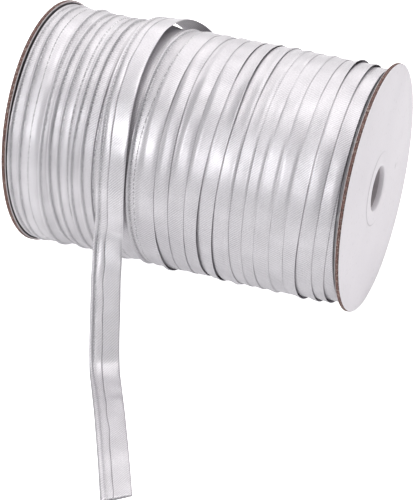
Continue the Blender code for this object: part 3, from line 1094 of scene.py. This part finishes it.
def make_loose_end():
    """The loose end: one cloth folded over on both sides, drawn along its route and cut aslant."""
    found = route()
    middles = np.array([list(row[0]) for row in found])
    across = np.array([list(row[1]) for row in found])
    ahead = unit_rows(np.gradient(middles, axis=0))
    across = unit_rows(across - ahead * (across * ahead).sum(1)[:, None])
    up = np.cross(ahead, across)
    lengths = distances_along(middles)
    total = lengths[-1]
    count = len(found)
    landing = lengths[np.argmax(middles[:, 2] < BASE + LANDED)]
    leaving = lengths[np.argmax((middles[:, 1] < 0.0) & (middles[:, 2] < FALL[0][2]))]
    path = np.array(CLOTH_PATH)
    left_fold = np.arange(len(path)) > LEFT_FOLD_ROW
    upper = path[:, 1] > TOP_LEVEL
    bulge = left_fold & upper
    full = 1.0 + CLOTH_FULL_WAVER * waver(count, 12, 40)
    raw_drift = CLOTH_RAW_WAVER * waver(count, 5, 30)
    sections = np.zeros((count, len(path), 3))
    for index, here in enumerate(lengths):
        lying = np.clip((here - landing + PRESS_BEFORE) / PRESS_OVER, 0.0, 1.0)
        shares = path[:, 0] * (1.0 - lying) + path[:, 2] * lying
        levels = (path[:, 1] * (1.0 - lying) + path[:, 3] * lying) * MM
        drifting = left_fold * np.clip((shares - RAW_DRIFT_FROM) / RAW_DRIFT_OVER, 0.0, 1.0)
        side = (shares + raw_drift[index] * drifting - 0.5) * TAPE_WIDTH
        levels[bulge] = FOLD_LEVEL + (levels[bulge] - FOLD_LEVEL) * full[index]
        mouth = np.clip((here - (total - MOUTH_REACH)) / MOUTH_REACH, 0.0, 1.0)
        levels = levels + upper * MOUTH_RISE * mouth ** 2 * np.sin(np.pi * shares)
        levels = np.where(upper, dented(levels, shares, here - landing), levels)
        overrun = (CUT_LEFT + (CUT_RIGHT - CUT_LEFT) * shares) * mouth
        sections[index] = (
            middles[index]
            + across[index] * side[:, None]
            + up[index] * levels[:, None]
            + ahead[index] * overrun[:, None])
    sections += np.array(MIDDLE)
    cloth_across = distances_along(path[:, :2] * (TAPE_WIDTH, MM))
    hanging = np.clip((landing - lengths) / PRESS_OVER, 0.0, 1.0)
    # Painted shade by the left fold and in its groove, less of it where the tape lies flat on the floor
    hollow_shades = marked(FLOOR_HOLLOW_SHADE + (1.0 - FLOOR_HOLLOW_SHADE) * hanging, len(path), CLOTH_HOLLOW_SHADES)
    off_roll = np.clip((lengths - leaving) / FRAY_OVER, 0.0, 1.0)
    frayed = ROLL_FRAY + (HANGING_FRAY - ROLL_FRAY) * hanging * off_roll
    raw_edges = marked(frayed, len(path), CLOTH_RAW_EDGES)
    bm = drawn_strip(
        sections, np.tile(cloth_across, (count, 1)), lengths + PATTERN_START, False, hollow_shades, raw_edges)
    piece = finished(bm, "loose_tape", LOOSE_BRIGHTENED_SATIN, sharp=60.0)
    wall = piece.modifiers.new("cloth thickness", "SOLIDIFY")
    wall.thickness = CLOTH
    wall.offset = 0.0
    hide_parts("loose_end")


# Spool
RING_RISE = 0.00022
PAPER_THICK = 0.00014
PAPER_INSET = 0.00015
LINER_INSET = 0.0002
RIM_ROUND = 0.00012
TUBE_CLEAR = 0.0002
FLANGE_STEPS = 192
TUBE_STEPS = 96


def facing_profile(outer):
    """Paper over the outside of a flange: flat, a little proud over the tube's end, rolled into it."""
    outside = [
        (outer, FLANGE_RADIUS - PAPER_INSET),
        (outer, TUBE_RADIUS + 0.0006),
        (outer + RING_RISE * 0.15, TUBE_RADIUS + 0.0003),
        (outer + RING_RISE * 0.85, TUBE_RADIUS - 0.0001),
        (outer + RING_RISE, TUBE_RADIUS - 0.0005),
        (outer + RING_RISE, BORE_RADIUS + 0.0008),
        (outer + RING_RISE - 0.00006, BORE_RADIUS + 0.0004),
        (outer + RING_RISE - 0.00020, BORE_RADIUS + 0.00014),
        (outer + RING_RISE - 0.00050, BORE_RADIUS + 0.00002),
        (outer - 0.0024, BORE_RADIUS),
    ]
    inside = [(along - PAPER_THICK, radius + PAPER_THICK * (radius < BORE_RADIUS + 0.001))
              for along, radius in reversed(outside)]
    inside[-1] = (outer - PAPER_THICK, FLANGE_RADIUS - PAPER_INSET)
    return outside + inside


def board_profile(outer):
    """Card core of a flange, its cut rim a little rounded."""
    inner = outer - BOARD + PAPER_THICK
    outer = outer - PAPER_THICK
    return [
        (inner, BORE_RADIUS + 0.0003),
        (inner, FLANGE_RADIUS - RIM_ROUND),
        (inner + RIM_ROUND, FLANGE_RADIUS),
        (outer - RIM_ROUND, FLANGE_RADIUS),
        (outer, FLANGE_RADIUS - RIM_ROUND),
        (outer, BORE_RADIUS + 0.0012),
        (outer - 0.0009, BORE_RADIUS + 0.0003),
    ]


def liner_profile(outer):
    """Paper on the inside of a flange."""
    inner = outer - BOARD
    return [
        (inner, TUBE_RADIUS + TUBE_CLEAR),
        (inner, FLANGE_RADIUS - LINER_INSET),
        (inner + PAPER_THICK, FLANGE_RADIUS - LINER_INSET),
        (inner + PAPER_THICK, TUBE_RADIUS + TUBE_CLEAR),
    ]


def make_flange(node_name, side):
    """Card flange in three layers: paper facing, brown board, paper liner."""
    outer = SPOOL_LENGTH / 2
    for part, profile, look in (
            ("facing", facing_profile(outer), PAPER),
            ("board", board_profile(outer), BROWN),
            ("liner", liner_profile(outer), LINER)):
        bm = turned(profile, FLANGE_STEPS)
        for vert in bm.verts:
            from_middle = vert.co - MIDDLE
            along = side * from_middle.x
            if side < 0:
                along -= LEFT_LEAN * from_middle.z
            vert.co.x = MIDDLE.x + along
            vert.co.z = max(vert.co.z, MIDDLE.z + BASE)
        if side < 0:
            bmesh.ops.recalc_face_normals(bm, faces=bm.faces)
        piece = finished(bm, node_name + "_" + part, look, sharp=50.0)
        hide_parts(node_name)


def make_tube():
    """Card tube between the flanges, open through its bore."""
    half = SPOOL_LENGTH / 2 - BOARD - TUBE_CLEAR
    profile = [(-half, BORE_RADIUS), (-half, TUBE_RADIUS), (half, TUBE_RADIUS), (half, BORE_RADIUS)]
    bm = turned(profile, TUBE_STEPS)
    for vert in bm.verts:
        from_middle = vert.co - MIDDLE
        if from_middle.x < 0:
            vert.co.x -= LEFT_LEAN * from_middle.z
    piece = finished(bm, "tube", CARD)
    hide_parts("core_tube")


# Camera, floor and light
CAMERA_TURN = math.radians(20.476)
CAMERA_RISE = math.radians(33.957)
CAMERA_AWAY = 0.750
CAMERA_AIM = Vector((-0.00187, 0.0, -0.04423))
CAMERA_LENS = 148.2
SENSOR_WIDTH = 36.0

# Lamps: name, place from the spool's middle, size, power, colour
LAMPS = (
    ("key_lamp", (-0.36, -0.75, 0.56), (0.28, 0.46), 3.2, (1.0, 1.0, 1.0)),
    ("top_lamp", (0.0, 0.02, 1.0), (0.95, 0.80), 5.0, (1.0, 0.98, 0.97)),
    ("back_lamp", (-0.10, 0.80, 0.60), (1.60, 0.90), 7.0, (1.0, 0.975, 0.965)),
)
FLOOR_SIZE = 4.0
FLOOR_DARK = (0.90, 0.90, 0.90)
FLOOR_LIGHT = (0.93, 0.93, 0.93)
FLOOR_GLOW = 0.28
SURROUND = (0.95, 0.97, 1.0, 1.0)
SURROUND_STRENGTH = 0.32


def make_camera():
    """Camera at the photograph's angle."""
    back = Vector((
        math.sin(CAMERA_TURN) * math.cos(CAMERA_RISE),
        -math.cos(CAMERA_TURN) * math.cos(CAMERA_RISE),
        math.sin(CAMERA_RISE)))
    camera = bpy.data.objects.new("camera", bpy.data.cameras.new("camera"))
    bpy.context.scene.collection.objects.link(camera)
    camera.data.lens = CAMERA_LENS
    camera.data.sensor_width = SENSOR_WIDTH
    camera.location = MIDDLE + back * CAMERA_AWAY
    aim = MIDDLE + CAMERA_AIM
    camera.rotation_mode = "QUATERNION"
    camera.rotation_quaternion = (aim - camera.location).to_track_quat("-Z", "Y")
    bpy.context.scene.camera = camera


def softbox(name, place, size, power, colour):
    """Large soft lamp aimed at the roll."""
    lamp = bpy.data.lights.new(name, "AREA")
    lamp.shape = "RECTANGLE"
    lamp.size, lamp.size_y = size
    lamp.energy = power
    lamp.color = colour
    made = bpy.data.objects.new(name, lamp)
    bpy.context.scene.collection.objects.link(made)
    made.location = MIDDLE + Vector(place)
    made.rotation_mode = "QUATERNION"
    made.rotation_quaternion = (-Vector(place)).to_track_quat("-Z", "Y")


def make_studio():
    """Plain pale floor, an even pale surround and soft lamps."""
    bm = bmesh.new()
    bmesh.ops.create_grid(bm, x_segments=1, y_segments=1, size=FLOOR_SIZE)
    mesh = bpy.data.meshes.new("floor")
    bm.to_mesh(mesh)
    bm.free()
    floor = bpy.data.objects.new("floor", mesh)
    bpy.context.scene.collection.objects.link(floor)
    look, tree, shader = new_look("floor_white", Roughness=0.9, Specular_IOR_Level=0.1)
    tree.links.new(
        mixed(tree, noise(tree, object_place(tree), 3.0), FLOOR_DARK, FLOOR_LIGHT),
        shader["Base Color"])
    shader["Emission Color"].default_value = (1.0, 1.0, 1.0, 1.0)
    seen = node(tree, "ShaderNodeLightPath").outputs["Is Camera Ray"]
    tree.links.new(spread(tree, seen, 0.0, 1.0, FLOOR_GLOW, 1.0), shader["Emission Strength"])
    mesh.materials.append(look)
    world = bpy.data.worlds.new("surround")
    bpy.context.scene.world = world
    world.use_nodes = True
    background = world.node_tree.nodes["Background"].inputs
    background["Color"].default_value = SURROUND
    background["Strength"].default_value = SURROUND_STRENGTH
    for lamp in LAMPS:
        softbox(*lamp)
    bpy.context.scene.view_settings.view_transform = "Standard"


make_camera()
make_studio()
make_flange("flange_left", -1)
make_flange("flange_right", 1)
make_tube()
make_winding()
make_loose_end()
